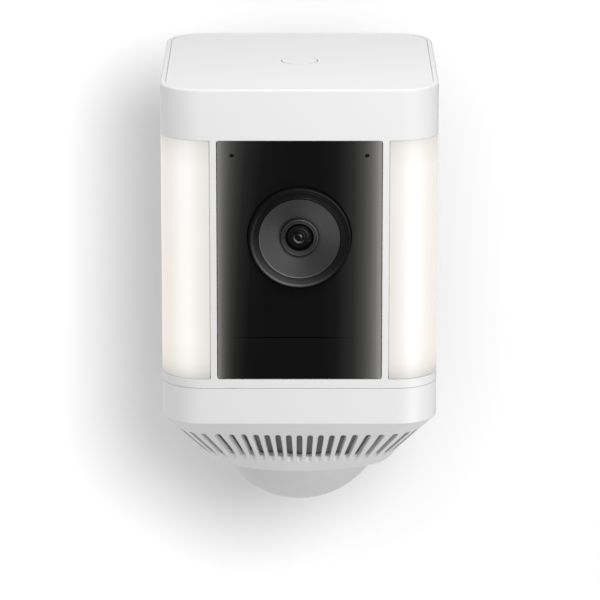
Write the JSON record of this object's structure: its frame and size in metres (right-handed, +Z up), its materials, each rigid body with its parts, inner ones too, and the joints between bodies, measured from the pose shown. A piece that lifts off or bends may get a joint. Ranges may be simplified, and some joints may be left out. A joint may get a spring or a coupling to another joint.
{
  "type": "floodlight security camera",
  "caption": "Battery outdoor security camera: rounded white case, lamp windows either side of a black lens face, motion sensor dome below, ball-jointed wall mount behind.",
  "frame": {"origin": "centre of the wall plate's back face, in the plane of the wall", "axes": "+Y into the wall, -Y the way that the camera looks, +Z up, +X to the right seen from the front"},
  "size_m": [0.09, 0.1511, 0.1506],
  "materials": {
    "case": "fine satin texture",
    "cloth": "fine woven mesh",
    "face": "smooth satin gloss",
    "lens_trim": "fine turned rings",
    "dark_plastic": "moulded",
    "lens_glass": "coated and polished",
    "lamp": "lit opal diffuser",
    "reflector": "white reflective",
    "board": "solder mask over fibreglass",
    "light_metal": "satin",
    "steel": "satin",
    "dome": "smooth translucent lens plastic",
    "battery": "moulded",
    "latch": "moulded",
    "rubber": "soft matte"
  },
  "bodies": {
    "mount": {"wall_plate": "light_metal", "mount_cover": "case", "arm_retainer": "light_metal"},
    "arm": {"mount_arm": "case"},
    "liner": {"ball_liner": "dark_plastic"},
    "camera": {"front_housing": "case", "rear_housing": "case", "bottom_housing": "case", "top_panel": "case", "socket_cup": "case", "grille_cloth": "cloth", "face_panel": "face", "infrared_window": "face", "lens_bezel": "face", "lens_dish": "lens_trim", "lens_barrel": "dark_plastic", "lens_holder": "dark_plastic", "filter_housing": "dark_plastic", "image_sensor": "dark_plastic", "speaker_frame": "dark_plastic", "battery_bay": "dark_plastic", "lens_glass": "lens_glass", "lamp_diffuser_left": "lamp", "lamp_diffuser_right": "lamp", "lamp_reflector_left": "reflector", "lamp_reflector_right": "reflector", "lamp_board_left": "board", "lamp_board_right": "board", "main_board": "board", "button_board": "board", "radio_aerial": "board", "sensor_board": "board", "infrared_lamps": "board", "motion_board": "board", "lamp_heat_sink_left": "light_metal", "lamp_heat_sink_right": "light_metal", "chassis": "light_metal", "radio_shield": "light_metal", "microphone_left": "dark_plastic", "microphone_right": "dark_plastic", "motion_sensor_left": "light_metal", "motion_sensor_right": "light_metal", "case_screw_1": "steel", "case_screw_2": "steel", "case_screw_3": "steel", "case_screw_4": "steel", "motion_dome": "dome", "battery_pack": "battery", "door_seal": "rubber", "bottom_seal": "rubber", "speaker_cone": "rubber"},
    "collar": {"collar_nut": "case"},
    "button": {"setup_button": "case"},
    "door": {"battery_door": "case", "hinge_pin": "steel"},
    "door_screw": {"door_screw": "steel"},
    "latch": {"battery_latch": "latch"},
    "filter": {"infrared_filter": "lens_glass"}
  },
  "joints": [
    {"name": "arm_roll", "type": "hinge", "parent": "mount", "child": "arm", "pos_m": [0, -0.0064, 0], "axis": [0, 1, 0], "range_deg": [-90, 90]},
    {"name": "camera_pan", "type": "hinge", "parent": "arm", "child": "liner", "pos_m": [0, -0.048, 0], "axis": [0, 0, 1], "range_deg": [-25, 25]},
    {"name": "camera_tilt", "type": "hinge", "parent": "liner", "child": "camera", "pos_m": [0, -0.048, 0], "axis": [1, 0, 0], "range_deg": [-25, 25]},
    {"name": "collar_turn", "type": "hinge", "parent": "camera", "child": "collar", "pos_m": [0, -0.048, 0], "axis": [0, 1, 0], "range_deg": [0, 60]},
    {"name": "button_press", "type": "slide", "parent": "camera", "child": "button", "axis": [0, 0, -1], "range_m": [0, 0.0008], "stiffness_N_per_m": 1200},
    {"name": "battery_door_open", "type": "hinge", "parent": "camera", "child": "door", "pos_m": [0, -0.0538, 0.0738], "axis": [1, 0, 0], "range_deg": [0, 95]},
    {"name": "door_screw_turn", "type": "hinge", "parent": "door", "child": "door_screw", "pos_m": [0, -0.055, 0.0276], "axis": [0, 1, 0], "continuous": true},
    {"name": "latch_flex", "type": "hinge", "parent": "camera", "child": "latch", "pos_m": [0, -0.0613, 0.0628], "axis": [1, 0, 0], "range_deg": [0, 12], "stiffness_Nm_per_rad": 0.2},
    {"name": "infrared_filter_shift", "type": "slide", "parent": "camera", "child": "filter", "axis": [1, 0, 0], "range_m": [0, 0.005]}
  ]
}
